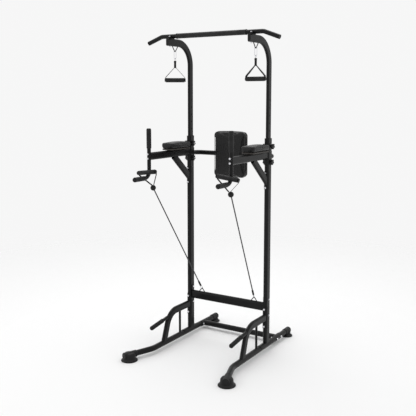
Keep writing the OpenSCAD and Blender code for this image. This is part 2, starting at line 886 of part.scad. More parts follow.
// ---- fasteners ----
module frame_bolts() {
    plate_y = upright_w/2 + plate_t + seat_gap;
    side_x = upright_t/2;
    color("silver") placed() both() {
        for (z = [-cross_bolt, cross_bolt]) translate([ux, 0, cross_z + z]) {
            translate([-side_x - plate_t - 0.1, 0, 0]) outward() bolt(upright_t + plate_t + 7);
            translate([side_x + 0.02, 0, 0]) outward() difference() {
                cylinder(r = head_r, h = 5, $fn = 6);
                translate([0, 0, -1]) cylinder(r = bolt_r, h = 7);
            }
        }
        for (z = [-arch_bolt, arch_bolt]) translate([ux, -plate_y - 0.02, arch_z + z])
            to_back() bolt(plate_t + 12);
        for (y = [-rear_bolt_y, rear_bolt_y]) translate([ux + rail_d/2 + 0.02, rear_bar_y + y, rail_z])
            inward() {
                bolt(rail_d + plate_t + 8);
                translate([0, 0, rail_d + plate_t + seat_gap + 0.04]) cylinder(r = head_r, h = 5, $fn = 6);
            }
        translate([ux + foot_rear_r - 12.2, rear_foot_y, 26]) outward() cylinder(r = 5, h = 3);
        for (z = [-back_bolt, back_bolt]) translate([ux, plate_y + 0.02, back_z + z])
            to_front() bolt(plate_t + wall - 0.1);
    }
}

module arm_bolts() {
    plate_y = upright_w/2 + plate_t + seat_gap;
    color("silver") placed() both() {
        for (z = [-post_bolt, post_bolt]) translate([ux, post_y - post_d/2 - 0.1, arm_z + z])
            to_back() bolt(post_d + 32);
        for (z = [-brace_bolt, brace_bolt]) translate([ux, -plate_y - 0.02, brace_plate_z + z])
            to_back() bolt(plate_t + wall - 0.1);
        for (z = [lock_z, knob_z]) translate([ux - upright_t/2 + wall - 0.2, 0, z])
            inward() cylinder(r = bolt_r, h = wall + plate_t + knob_h + 4);
    }
}

module nut_caps() {
    color("black") placed() both() for (z = [lock_z, knob_z])
        translate([ux - upright_t/2 - plate_t - 2*seat_gap, 0, z]) inward() difference() {
            linear_extrude(knob_h) rotate(36) star();
            translate([0, 0, -1]) cylinder(r = bolt_r + seat_gap, h = knob_h + 2);
        }
}

// ---- knobs ----
module lock_pin(s) {
    color("orangered") placed() on_side(s) translate([ux, 0, lock_z]) outward() {
        nose = mast_t/2 + free_gap;
        head = upright_t/2 + seat_gap + barrel_l + free_gap + pin_travel;
        translate([0, 0, nose]) cylinder(r = pin_r, h = head - nose + 1);
        translate([0, 0, head]) linear_extrude(knob_h) star();
    }
}
module lock_pin_left() { lock_pin(-1); }
module lock_pin_right() { lock_pin(1); }

module arm_knob(s) {
    color("orangered") placed() on_side(s) translate([ux, 0, knob_z]) outward() {
        nose = upright_t/2 - wall + 0.1;
        head = upright_t/2 + plate_t + seat_gap + free_gap;
        translate([0, 0, nose]) cylinder(r = bolt_r, h = head - nose + 1);
        translate([0, 0, head]) cylinder(r = barrel_r, h = 5);
        translate([0, 0, head + 4]) linear_extrude(knob_h) star();
    }
}
module arm_knob_left() { arm_knob(-1); }
module arm_knob_right() { arm_knob(1); }

// ---- snap hooks ----
module hook(s) {
    color("silver") placed() on_side(s) translate([ux, eye_y, hook_low]) difference() {
        loop(hook_half, hook_len, hook_r);
        translate([hook_half - 3, -4, gate_low - hook_low]) cube([6, 8, gate_high - gate_low]);
    }
}
module hook_left() { hook(-1); }
module hook_right() { hook(1); }

module gate(s) {
    color("gold") placed() on_side(s) translate([ux + hook_half, eye_y, gate_low + 1])
        cylinder(r = gate_r, h = gate_high - gate_low - 1 - free_gap);
}
module gate_left() { gate(-1); }
module gate_right() { gate(1); }

rail_left();
rail_right();
feet();
rear_crossbar();
lower_crossbar();
arch_left();
arch_right();
pushup_bars();
pushup_grips();
upright_left();
upright_right();
bushes();
pin_barrels();
arm_left();
arm_right();
pad_boards();
arm_pad_left();
arm_pad_right();
post_left();
post_right();
post_grips();
back_bar();
back_board();
back_pad();
crossbar_eyes();
cord_hooks();
cord_sleeves();
cord_left();
cord_right();
frame_bolts();
arm_bolts();
nut_caps();
tube_caps();
mast_left();
mast_right();
mast_guides();
mast_eyes();
top_caps();
pullup_bar();
bar_grip();
bar_bolts();
lock_pin_left();
lock_pin_right();
arm_knob_left();
arm_knob_right();
hook_left();
hook_right();
gate_left();
gate_right();
strap_left();
strap_right();
ring_left();
ring_right();
hand_grip_left();
hand_grip_right();
yoke_left();
yoke_right();
band_grip_left();
band_grip_right();
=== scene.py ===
# %% [markdown]
# # A power tower, dressed for the studio
#
# The steel frame comes ready-made from the CAD model. This lesson loads it, gives each
# of its materials a procedural finish, and then makes the soft and moulded pieces that
# a CAD solid only stands in for: cushions, foam grips, webbing, elastic cords and feet.
# Everything is in metres, with the floor at z = 0 and the user facing +Y.

import json
import math

import bmesh
import bpy
import numpy as np
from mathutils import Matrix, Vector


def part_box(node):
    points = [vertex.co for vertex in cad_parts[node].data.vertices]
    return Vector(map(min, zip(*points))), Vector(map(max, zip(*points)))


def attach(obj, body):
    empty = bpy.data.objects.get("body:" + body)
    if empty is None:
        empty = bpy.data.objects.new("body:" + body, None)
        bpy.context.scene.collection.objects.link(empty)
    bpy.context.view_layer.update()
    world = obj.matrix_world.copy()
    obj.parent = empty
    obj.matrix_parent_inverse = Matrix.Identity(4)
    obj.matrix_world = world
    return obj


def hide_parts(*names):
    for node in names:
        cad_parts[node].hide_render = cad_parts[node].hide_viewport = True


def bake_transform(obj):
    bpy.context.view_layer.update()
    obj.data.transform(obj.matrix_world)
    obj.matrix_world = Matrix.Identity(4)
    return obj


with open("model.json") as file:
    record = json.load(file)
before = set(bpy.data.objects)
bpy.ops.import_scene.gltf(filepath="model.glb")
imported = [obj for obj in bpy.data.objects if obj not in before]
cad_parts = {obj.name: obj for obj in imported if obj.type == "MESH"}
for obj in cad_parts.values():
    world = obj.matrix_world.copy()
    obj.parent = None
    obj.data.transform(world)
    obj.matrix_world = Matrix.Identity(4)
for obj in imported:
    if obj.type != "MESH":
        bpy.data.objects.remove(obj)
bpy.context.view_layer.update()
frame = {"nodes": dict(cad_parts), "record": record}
scene = bpy.context.scene

# %% [markdown]
# ## Camera, floor and light
#
# A tall slim object is seen best from well back, through a longish lens, with little
# perspective. The camera is placed by the point it looks
# at, an azimuth, an elevation and a distance. A small vertical shift sets the framing
# without tilting the uprights.

# %% Camera
AZIMUTH, ELEVATION, DISTANCE = math.radians(31.9), math.radians(7.0), 4.595
SENSOR, LENS, SHIFT = 36, 58.3, -0.066
look_at = np.array([-0.1150, 0.0904, 1.138])
back = np.array([
    math.sin(AZIMUTH) * math.cos(ELEVATION),
    -math.cos(AZIMUTH) * math.cos(ELEVATION),
    math.sin(ELEVATION),
])
camera = bpy.data.objects.new("camera", bpy.data.cameras.new("camera"))
scene.collection.objects.link(camera)
camera.data.sensor_width, camera.data.lens, camera.data.shift_y = SENSOR, LENS, SHIFT
camera.location = look_at + back * DISTANCE
camera.rotation_euler = (math.pi / 2 - ELEVATION, 0, AZIMUTH)
scene.camera = camera
print("camera at", [round(v, 3) for v in camera.location])

# %% [markdown]
# The floor is one pale disc. It fades to nothing well away from the object, so that it
# has no edge and no horizon line. The room is an even pale grey, with one wide lamp
# overhead for the soft highlight along the top of every tube, and a weaker one in
# front. A polished black tube shows mostly what it mirrors, so the lamps are large.

# %% Small helpers for node trees
def put(tree, kind, settings=None, inputs=None):
    """Adds a node, sets its own settings, then sets or links each of its inputs."""
    node = tree.nodes.new(kind)
    for key, value in (settings or {}).items():
        setattr(node, key, value)
    for key, value in (inputs or {}).items():
        if isinstance(value, bpy.types.NodeSocket):
            tree.links.new(value, node.inputs[key])
        else:
            node.inputs[key].default_value = value
    return node


def calc(tree, operation, a, b=0.0):
    """One Math node's result."""
    return put(tree, "ShaderNodeMath", {"operation": operation}, {0: a, 1: b}).outputs[0]


def span(tree, value, low, high, to_low=0.0, to_high=1.0):
    """A value from low to high, mapped to to_low to to_high and held there."""
    inputs = {0: value, 1: low, 2: high, 3: to_low, 4: to_high}
    return put(tree, "ShaderNodeMapRange", {}, inputs).outputs[0]


# %% Floor, room and lamps
def floor_material():
    """Pale matte floor whose cover falls from 1 to 0 with the distance from the middle."""
    material = bpy.data.materials.new("studio_floor")
    material.use_nodes = True
    tree = material.node_tree
    shader = tree.nodes["Principled BSDF"]
    shader.inputs["Base Color"].default_value = (0.89, 0.89, 0.89, 1)
    shader.inputs["Roughness"].default_value = 0.75
    shader.inputs["Specular IOR Level"].default_value = 0.15
    place = put(tree, "ShaderNodeTexCoord").outputs["Object"]
    reach = put(tree, "ShaderNodeVectorMath", {"operation": "LENGTH"}, {0: place}).outputs["Value"]
    tree.links.new(span(tree, reach, 1.6, 4.5, 1.0, 0.0), shader.inputs["Alpha"])
    return material


FLOOR_R, FLOOR_SIDES = 6, 96
turn = np.linspace(0, 2 * np.pi, FLOOR_SIDES, endpoint=False)
ring = np.stack([FLOOR_R * np.cos(turn), FLOOR_R * np.sin(turn), 0 * turn], 1)
disc = bpy.data.meshes.new("floor")
disc.from_pydata(ring.tolist(), [], [list(range(FLOOR_SIDES))])
floor = bpy.data.objects.new("floor", disc)
disc.materials.append(floor_material())
scene.collection.objects.link(floor)


def lamp(name, energy, size, place, aim):
    """A square soft lamp at place, pointed at aim."""
    light = bpy.data.lights.new(name, "AREA")
    light.energy, light.size = energy, size
    obj = bpy.data.objects.new(name, light)
    obj.location = place
    way = np.array(aim) - np.array(place)
    obj.rotation_euler = (
        math.atan2(math.hypot(way[0], way[1]), -way[2]), 0, math.atan2(way[1], way[0]) - math.pi / 2
    )
    scene.collection.objects.link(obj)


lamp("overhead", 54, 3.0, (-0.6, 0.9, 4.6), (0, 0, 0.8))
lamp("front_left", 8, 2.0, (-2.8, -3.4, 2.6), (0, 0, 1.0))
room = bpy.data.worlds.new("room")
room.use_nodes = True
room.node_tree.nodes["Background"].inputs["Color"].default_value = (0.925, 0.925, 0.925, 1)
scene.world = room
scene.view_settings.view_transform = "Standard"

# %% [markdown]
# ## Shapes as formulas
#
# Every new piece is a grid of points P[u, v]: u runs along the piece, and v runs round
# it. Three small functions make almost all of them. `eased` rounds the corners of a
# polyline, `turned` spins an outline about an axis, and `carried` takes a section
# along a path. The grid becomes one mesh, whose UV map is in metres along and round.

# %% Grid to mesh
def surface(name, grid, loop_u=False):
    """Quads over grid[u, v], closed round v, and round u too if loop_u. Rows that have
    shrunk to a point are merged, and all faces are turned outwards."""
    nu, nv = grid.shape[:2]
    i, j = np.meshgrid(np.arange(nu if loop_u else nu - 1), np.arange(nv), indexing="ij")
    ci = np.stack([i, i + 1, i + 1, i], -1).reshape(-1, 4)
    cj = np.stack([j, j, j + 1, j + 1], -1).reshape(-1, 4)
    mesh = bpy.data.meshes.new(name)
    mesh.from_pydata(grid.reshape(-1, 3).tolist(), [], ((ci % nu) * nv + cj % nv).tolist())
    wrapped = np.concatenate([grid, grid[:1]], 0) if loop_u else grid
    along = np.concatenate([[0], np.cumsum(np.linalg.norm(np.diff(wrapped, axis=0), axis=2).mean(1))])
    rounded = np.concatenate([grid, grid[:, :1]], 1)
    around = np.concatenate([[0], np.cumsum(np.linalg.norm(np.diff(rounded, axis=1), axis=2).max(0))])
    layer = mesh.uv_layers.new(name="UVMap")
    layer.data.foreach_set("uv", np.stack([along[ci], around[cj]], -1).astype(np.float32).ravel())
    work = bmesh.new()
    work.from_mesh(mesh)
    bmesh.ops.remove_doubles(work, verts=work.verts, dist=1e-6)
    bmesh.ops.recalc_face_normals(work, faces=work.faces)
    work.to_mesh(mesh)
    work.free()
    mesh.polygons.foreach_set("use_smooth", np.ones(len(mesh.polygons), bool))
    piece = bpy.data.objects.new(name, mesh)
    scene.collection.objects.link(piece)
    return piece


def unit(vector):
    """The vector, or each row of vectors, at length 1."""
    vector = np.asarray(vector, float)
    return vector / np.linalg.norm(vector, axis=-1, keepdims=True)


# %% Outlines
def eased(points, n, width, loop=False):
    """n points spread along straight lines through points, each the mean of its
    neighbours within width, so corners turn softly. Open ends stay where they are."""
    points = np.asarray(points, float)
    if loop:
        points = np.concatenate([points, points[:1]])
    s = np.concatenate([[0], np.cumsum(np.linalg.norm(np.diff(points, axis=0), axis=1))])
    u = np.linspace(0, s[-1], n, endpoint=not loop)
    reach = np.full(n, width) if loop else np.minimum(width, np.minimum(u, s[-1] - u))
    at = u[:, None] + np.linspace(-1, 1, 13) * reach[:, None]
    at = at % s[-1] if loop else np.clip(at, 0, s[-1])
    return np.stack([np.interp(at, s, points[:, k]).mean(1) for k in range(points.shape[1])], 1)


def outline(w, l, r, n=24):
    """A w by l rectangle with corners of radius r: four quarter circles of n points,
    with their centres r in from each side."""
    a = np.linspace(0, np.pi / 2, n)
    a = (np.arange(4)[:, None] * np.pi / 2 + a).ravel()
    sx = np.repeat([1, -1, -1, 1], n) * (w / 2 - r)
    sy = np.repeat([1, 1, -1, -1], n) * (l / 2 - r)
    return np.stack([sx + r * np.cos(a), sy + r * np.sin(a)], 1)


# %% Turned and carried pieces
def axes(axis):
    """Two unit vectors square to axis and to each other."""
    axis = unit(axis)
    first = unit(np.cross(axis, [0.0, 0.0, 1.0] if abs(axis[2]) < 0.9 else [1.0, 0.0, 0.0]))
    return axis, first, np.cross(axis, first)


def turned(name, profile, origin, axis, steps=40, loop=False):
    """profile (r, h) turned about an axis: point = origin + h * axis + r * (cos v * e1
    + sin v * e2). A loop profile makes a sleeve, and an open one starts and ends on
    the axis."""
    axis, e1, e2 = axes(axis)
    v = np.linspace(0, 2 * np.pi, steps, endpoint=False)
    circle = np.cos(v)[:, None] * e1 + np.sin(v)[:, None] * e2
    r, h = np.asarray(profile, float).T
    grid = np.asarray(origin) + h[:, None, None] * axis + r[:, None, None] * circle
    return surface(name, grid, loop_u=loop)


def carried_grid(section, path, side):
    """Each section point (a, b) goes to path(u) + a * side + b * (side x tangent)."""
    path = np.asarray(path, float)
    tangent = unit(np.gradient(path, axis=0))
    side = unit(np.broadcast_to(side, path.shape) - tangent * (tangent @ side)[:, None])
    up = np.cross(side, tangent)
    section = np.broadcast_to(section, (len(path),) + np.shape(section)[-2:])
    return path[:, None] + section[..., :1] * side[:, None] + section[..., 1:] * up[:, None]


def carried(name, section, path, side, loop=False):
    """A section carried along a path. An open path gets flat closed ends."""
    grid = carried_grid(section, path, np.asarray(side, float))
    if not loop:
        first = np.broadcast_to(grid[0].mean(0), grid[:1].shape)
        last = np.broadcast_to(grid[-1].mean(0), grid[:1].shape)
        grid = np.concatenate([first, grid, last])
    return surface(name, grid, loop_u=loop)


def joined(name, parts):
    """Several surfaces as one piece."""
    work = bmesh.new()
    for part in parts:
        work.from_mesh(part.data)
        bpy.data.objects.remove(part)
    mesh = bpy.data.meshes.new(name)
    work.to_mesh(mesh)
    work.free()
    mesh.polygons.foreach_set("use_smooth", np.ones(len(mesh.polygons), bool))
    piece = bpy.data.objects.new(name, mesh)
    scene.collection.objects.link(piece)
    return piece


def middle(node):
    """The centre of a CAD node's box."""
    lo, hi = (np.array(corner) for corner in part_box(node))
    return (lo + hi) / 2


SIDES = {"left": -1, "right": 1}
print("shape helpers ready")

# %% [markdown]
# ## Finishes
#
# A finish has three parts. Its colour varies a little between a deep and a pale tone,
# its roughness varies where hands and shoes have polished or scuffed it, and a fine
# height pattern catches the light. Each kind of texture is one node group with the
# same three outputs, Height, Tone and Wear, so a material is a group plus its colours.

# %% Texture groups
def texture_group(title, inputs, build):
    """A node group with a Coordinates input, the given number inputs, and the outputs
    Height, Tone and Wear that build works out."""
    tree = bpy.data.node_groups.new(title, "ShaderNodeTree")
    tree.interface.new_socket("Coordinates", in_out="INPUT", socket_type="NodeSocketVector")
    for label, value in inputs.items():
        socket = tree.interface.new_socket(label, in_out="INPUT", socket_type="NodeSocketFloat")
        socket.default_value = value
    for label in ("Height", "Tone", "Wear"):
        tree.interface.new_socket(label, in_out="OUTPUT", socket_type="NodeSocketFloat")
    source, sink = tree.nodes.new("NodeGroupInput"), tree.nodes.new("NodeGroupOutput")
    for label, value in zip(("Height", "Tone", "Wear"), build(tree, source.outputs)):
        tree.links.new(value, sink.inputs[label])
    return tree


def noise(tree, where, scale, detail=3.0, rough=0.55):
    """Cloudy noise from 0 to 1, with scale features to the metre."""
    inputs = {"Vector": where, "Scale": scale, "Detail": detail, "Roughness": rough}
    return put(tree, "ShaderNodeTexNoise", {}, inputs).outputs["Fac"]


def cells(tree, where, scale, feature="F1"):
    """Distance within a pattern of rounded cells, scale of them to the metre."""
    inputs = {"Vector": where, "Scale": scale}
    return put(tree, "ShaderNodeTexVoronoi", {"feature": feature}, inputs).outputs["Distance"]


# %% [markdown]
# Powder coat flows a little as it bakes, which leaves a shallow orange peel with
# bumps about a millimetre and a half apart, and finer speckle on top. Moulded plastic
# and rubber have an even spark-eroded grain instead, and zinc plate is brushed.

# %% Coat, mould grain and plate
def build_coat(tree, given):
    where = given["Coordinates"]
    peel = noise(tree, where, calc(tree, "DIVIDE", 1.0, given["Bump size"]), 2.0, 0.4)
    speck = noise(tree, where, 2600.0, 1.0)
    height = calc(tree, "ADD", peel, calc(tree, "MULTIPLY", speck, 0.25))
    tone = span(tree, noise(tree, where, 9.0, 4.0), 0.35, 0.7)
    rub = noise(tree, where, 34.0, 6.0, 0.7)
    wear = calc(tree, "MULTIPLY", span(tree, rub, 0.52, 0.74), given["Scuffing"])
    return height, tone, wear


def build_mould(tree, given):
    where = given["Coordinates"]
    grain = cells(tree, where, calc(tree, "DIVIDE", 1.0, given["Grain size"]))
    height = calc(tree, "MULTIPLY", grain, span(tree, noise(tree, where, 420.0), 0.3, 0.7, 0.5, 1.0))
    tone = span(tree, noise(tree, where, 26.0, 5.0, 0.65), 0.4, 0.72)
    rub = noise(tree, where, 60.0, 5.0, 0.7)
    wear = calc(tree, "MULTIPLY", span(tree, rub, 0.5, 0.72), given["Scuffing"])
    return height, tone, wear


def build_plate(tree, given):
    where = given["Coordinates"]
    squeezed = put(tree, "ShaderNodeVectorMath", {"operation": "MULTIPLY"}, {0: where, 1: (1, 1, 14)})
    brushed = noise(tree, squeezed.outputs[0], 700.0, 3.0, 0.6)
    tone = span(tree, noise(tree, where, 120.0, 4.0), 0.3, 0.75)
    wear = calc(tree, "MULTIPLY", span(tree, brushed, 0.35, 0.75), given["Brushing"])
    return brushed, tone, wear


coat = texture_group("powder coat", {"Bump size": 0.0015, "Scuffing": 0.5}, build_coat)
mould = texture_group("mould grain", {"Grain size": 0.0006, "Scuffing": 0.5}, build_mould)
plate = texture_group("plated metal", {"Brushing": 0.5}, build_plate)
print("groups:", [g.name for g in bpy.data.node_groups])

# %% [markdown]
# Foam grips are closed-cell rubber: thousands of tiny pits, a cloudy tone, and a skin
# that shines slightly where it is gripped. The colour is darker in each pit, which is
# painted shade. Synthetic leather has rounded cells with sharp creases between them,
# which a Voronoi pattern's distance-to-edge gives, and long soft wrinkles across them.
# Its colour is darker in the creases and in the low parts of the wrinkles, which is
# painted shade. Plywood shows stretched growth rings.

# %% Foam, leather and plywood
def build_foam(tree, given):
    where = given["Coordinates"]
    scale = calc(tree, "DIVIDE", 1.0, given["Cell size"])
    pits = span(tree, cells(tree, where, scale), 0.05, 0.55)
    height = calc(tree, "ADD", pits, calc(tree, "MULTIPLY", noise(tree, where, 160.0, 4.0), 1.2))
    cloud = span(tree, noise(tree, where, 48.0, 5.0, 0.7), 0.36, 0.7)
    # The cloud is the foam's own mottling. The pit factor makes the colour darker in each pit, which is
    # painted shade.
    tone = calc(tree, "MULTIPLY", cloud, span(tree, pits, 0, 1, 0.5, 1.0))
    return height, tone, span(tree, noise(tree, where, 22.0, 3.0), 0.42, 0.68)


def build_leather(tree, given):
    where = given["Coordinates"]
    scale = calc(tree, "DIVIDE", 1.0, given["Grain size"])
    bent = put(tree, "ShaderNodeTexNoise", {}, {"Vector": where, "Scale": 90.0, "Detail": 2.0})
    shifted = put(
        tree, "ShaderNodeVectorMath", {"operation": "MULTIPLY_ADD"},
        {0: bent.outputs["Color"], 1: (0.004, 0.004, 0.004), 2: where},
    ).outputs[0]
    crease = span(tree, cells(tree, shifted, scale, "DISTANCE_TO_EDGE"), 0.0, 0.22)
    fold = noise(tree, where, 16.0, 4.0, 0.6)
    height = calc(tree, "ADD", crease, calc(tree, "MULTIPLY", fold, given["Wrinkles"]))
    # Painted shade: the colour is darker in the creases and where the wrinkles are low.
    tone = calc(tree, "MULTIPLY", crease, span(tree, fold, 0.35, 0.7, 0.4, 1.0))
    return height, tone, span(tree, noise(tree, where, 11.0, 3.0), 0.4, 0.7)


def build_ply(tree, given):
    where = given["Coordinates"]
    stretched = put(tree, "ShaderNodeVectorMath", {"operation": "MULTIPLY"}, {0: where, 1: (1.0, 0.12, 0.12)})
    bands = noise(tree, stretched.outputs[0], calc(tree, "DIVIDE", 1.0, given["Ring width"]), 6.0, 0.7)
    pores = noise(tree, stretched.outputs[0], 1500.0, 2.0)
    return calc(tree, "ADD", bands, pores), span(tree, bands, 0.3, 0.7), span(tree, pores, 0.3, 0.8)


foam = texture_group("foam skin", {"Cell size": 0.0011}, build_foam)
leather = texture_group("leather grain", {"Grain size": 0.0021, "Wrinkles": 1.6}, build_leather)
ply = texture_group("plywood grain", {"Ring width": 0.009}, build_ply)

# %% [markdown]
# Webbing and the cords' braided cover follow the piece, so they read its UV map, which
# is in metres. Threads crossing at right angles are the product of two sine waves.
# With Slant at 0 that is plain webbing, and at 1 the threads run diagonally, as in a
# braid. The sign of the product says which thread is on top.

# %% Weave, and dust that settles on what faces up
def build_weave(tree, given):
    place = put(tree, "ShaderNodeSeparateXYZ", {}, {0: given["Coordinates"]}).outputs
    along = calc(tree, "ADD", place[0], calc(tree, "MULTIPLY", place[1], given["Slant"]))
    across = calc(tree, "SUBTRACT", place[1], calc(tree, "MULTIPLY", place[0], given["Slant"]))
    rate = calc(tree, "DIVIDE", math.pi, given["Thread pitch"])
    waves = [calc(tree, "SINE", calc(tree, "MULTIPLY", way, rate)) for way in (along, across)]
    product = calc(tree, "MULTIPLY", *waves)
    height = calc(tree, "POWER", calc(tree, "ABSOLUTE", product), 0.6)
    fuzz = noise(tree, given["Coordinates"], 900.0, 3.0)
    thread = span(tree, product, -0.6, 0.6, 0.35, 1.0)
    tone = calc(tree, "MULTIPLY", thread, span(tree, fuzz, 0.3, 0.7, 0.6, 1.0))
    return height, tone, fuzz


def build_dust(tree, given):
    facing = put(tree, "ShaderNodeSeparateXYZ", {}, {0: put(tree, "ShaderNodeNewGeometry").outputs["Normal"]})
    speckle = span(tree, noise(tree, given["Coordinates"], 70.0, 6.0, 0.75), 0.4, 0.8)
    mask = calc(tree, "MULTIPLY", span(tree, facing.outputs[2], 0.35, 1.0), speckle)
    film = calc(tree, "MULTIPLY", mask, given["Amount"])
    return mask, film, film


weave = texture_group("weave", {"Thread pitch": 0.0012, "Slant": 0.0}, build_weave)
dust = texture_group("settled dust", {"Amount": 0.3}, build_dust)


# %% One builder for all finishes
DUST_COLOUR = (0.2, 0.2, 0.195, 1)


def finish(name, tones, rough, texture, values, depth, dusty=0.0, uv=False, plain=None):
    """A material: texture's Tone mixes two colours, its Wear moves the roughness from
    rough[0] to rough[1], and its Height feeds a bump of the given depth in metres.
    What doesn't vary is set on the shader's own sockets."""
    material = bpy.data.materials.new(name)
    material.use_nodes = True
    tree = material.node_tree
    shader = tree.nodes["Principled BSDF"]
    place = put(tree, "ShaderNodeTexCoord").outputs["Object"]
    source = put(tree, "ShaderNodeUVMap", {"uv_map": "UVMap"}).outputs[0] if uv else place
    made = put(tree, "ShaderNodeGroup", {"node_tree": texture}, {"Coordinates": source, **values}).outputs
    colour = put(
        tree, "ShaderNodeMix", {"data_type": "RGBA"},
        {0: made["Tone"], 6: (*tones[0], 1), 7: (*tones[1], 1)},
    ).outputs[2]
    if dusty:
        given = {"Coordinates": place, "Amount": dusty}
        film = put(tree, "ShaderNodeGroup", {"node_tree": dust}, given).outputs["Tone"]
        colour = put(
            tree, "ShaderNodeMix", {"data_type": "RGBA"}, {0: film, 6: colour, 7: DUST_COLOUR}
        ).outputs[2]
    bump = put(
        tree, "ShaderNodeBump", {}, {"Height": made["Height"], "Distance": depth, "Strength": 0.6}
    )
    tree.links.new(colour, shader.inputs["Base Color"])
    tree.links.new(span(tree, made["Wear"], 0.0, 1.0, *rough), shader.inputs["Roughness"])
    tree.links.new(bump.outputs[0], shader.inputs["Normal"])
    for socket, value in (plain or {}).items():
        shader.inputs[socket].default_value = value
    return material


def grey(*levels):
    """Neutral colours, a trace cooler than grey."""
    return [(v, v, v * 1.04) for v in levels]


FINISH = {
    "frame_steel": finish(
        "satin black powder coat", grey(0.0030, 0.0060), (0.30, 0.46), coat,
        {"Bump size": 0.0015, "Scuffing": 0.6}, 0.00018, 0.05, plain={"Specular IOR Level": 0.18},
    ),
    "eye_steel": finish(
        "black coated wire", grey(0.006, 0.012), (0.32, 0.5), coat,
        {"Bump size": 0.0008, "Scuffing": 0.8}, 0.00008, plain={"Specular IOR Level": 0.3},
    ),
    "black_plastic": finish(
        "moulded black plastic", grey(0.0035, 0.0075), (0.38, 0.56), mould,
        {"Grain size": 0.0007, "Scuffing": 0.6}, 0.00010, 0.05, plain={"Specular IOR Level": 0.20},
    ),
    "foot_rubber": finish(
        "boot rubber", grey(0.0040, 0.0095), (0.5, 0.7), mould,
        {"Grain size": 0.0010, "Scuffing": 0.8}, 0.00016, 0.10, plain={"Specular IOR Level": 0.24},
    ),
    "sleeve_rubber": finish(
        "sleeve rubber", grey(0.0040, 0.0080), (0.5, 0.7), mould,
        {"Grain size": 0.0005, "Scuffing": 0.5}, 0.00008, plain={"Specular IOR Level": 0.25},
    ),
    "board_wood": finish(
        "black-stained plywood", [(0.014, 0.012, 0.010), (0.034, 0.028, 0.023)], (0.5, 0.75), ply,
        {"Ring width": 0.009}, 0.00025, 0.15,
    ),
    "pad_leather": finish(
        "black synthetic leather", grey(0.0022, 0.0055), (0.36, 0.48), leather,
        {"Grain size": 0.0021, "Wrinkles": 1.6}, 0.00022, 0.03,
        plain={"Specular IOR Level": 0.30, "Sheen Weight": 0.02, "Sheen Roughness": 0.4},
    ),
    "grip_foam": finish(
        "grip foam", grey(0.0035, 0.0095), (0.5, 0.72), foam,
        {"Cell size": 0.0011}, 0.00028, 0.03, plain={"Specular IOR Level": 0.3, "Sheen Weight": 0.03},
    ),
    "hook_chrome": finish(
        "nickel plate", grey(0.62, 0.78), (0.12, 0.26), plate, {"Brushing": 0.4}, 0.00003,
        plain={"Metallic": 1.0},
    ),
    "bolt_zinc": finish(
        "zinc plate", grey(0.56, 0.76), (0.22, 0.42), plate, {"Brushing": 0.9}, 0.00005,
        plain={"Metallic": 1.0},
    ),
    "webbing": finish(
        "nylon webbing", grey(0.005, 0.013), (0.6, 0.8), weave,
        {"Thread pitch": 0.0013, "Slant": 0.0}, 0.00035, uv=True,
        plain={"Sheen Weight": 0.05, "Specular IOR Level": 0.25},
    ),
    "cord_fabric": finish(
        "braided cord cover", grey(0.020, 0.060), (0.65, 0.85), weave,
        {"Thread pitch": math.pi * 0.008 / 16, "Slant": 1.0}, 0.0005, uv=True,
        plain={"Sheen Weight": 0.1, "Specular IOR Level": 0.3},
    ),
}
print("finishes:", len(FINISH))

# %% [markdown]
# The steel tubes, bolts, hooks, knobs and caps keep their CAD shape, which is exact.
# Each gets the finish of the material slot that the model's record names for it.

# %% Dress the CAD nodes
slot_of = {part["node"]: part["material_slot"] for part in frame["record"]["subparts"]}
for name, node in frame["nodes"].items():
    node.data.materials.clear()
    node.data.materials.append(FINISH[slot_of[name]])


def dress(piece, slot, body, *nodes):
    """Gives a new piece its finish, the body it moves with, and the CAD nodes it replaces."""
    piece.data.materials.append(FINISH[slot])
    if body:
        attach(piece, body)
    if nodes:
        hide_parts(*nodes)
    return piece


print("dressed:", len(slot_of))

# %% [markdown]
# ## Elastic cords
#
# Each cord is an elastic core in a braided cover, 8 mm thick. It runs taut from a
# sleeve by the lower crossbar to a rubber ball under the band handle, and 5 mm of it
# sit inside the ball. It could be a plain cylinder, but a braid is lumpy: the tube's
# radius is lifted where two families of spirals cross. It stretches when the handle is
# pulled, but here it is one straight piece, fixed in place and moving with no body.

# %% Cords
LOW_EYE = np.array([0.209, 0.162, 0.351096])
BALL = np.array([0.290, -0.300, 1.120])
SLEEVE_END, BALL_R, CORD_R, CORD_IN = 0.0677, 0.018, 0.004, 0.005


def braided(name, start, end):
    """A tube from start to end whose radius is CORD_R * (0.95 + 0.05 * |sin a * sin b|),
    where a and b turn opposite ways round the cord as they go along it."""
    length = np.linalg.norm(end - start)
    s = np.linspace(0, length, int(length / 0.0013))
    v = np.linspace(0, 2 * np.pi, 32, endpoint=False)
    path = start + s[:, None] * (end - start) / length
    twist = s[:, None] / CORD_R
    lift = np.abs(np.sin(4 * (v + twist)) * np.sin(4 * (v - twist)))
    r = CORD_R * (0.95 + 0.05 * lift)
    section = np.stack([r * np.cos(v), r * np.sin(v)], -1)
    return carried(name, section, path, (1.0, 0.0, 0.0)), path


for side, sign in SIDES.items():
    flip = np.array([sign, 1, 1])
    low, ball = LOW_EYE * flip, BALL * flip
    way = unit(ball - low)
    begin = low + way * SLEEVE_END
    end = ball - way * (BALL_R - CORD_IN)
    cord, path = braided(f"elastic_cord_{side}", begin, end)
    dress(cord, "cord_fabric", None, f"cord_{side}")
    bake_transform(cord)

# %% [markdown]
# ## Foam and rubber grips
#
# A foam grip is a thick sleeve pushed over a tube, with softly rounded ends. Its
# outline is a closed loop of (radius, height), turned about the tube, so the bore is
# open as it is on the real one. The push-up grips are ribbed, which is a cosine added
# to the radius.

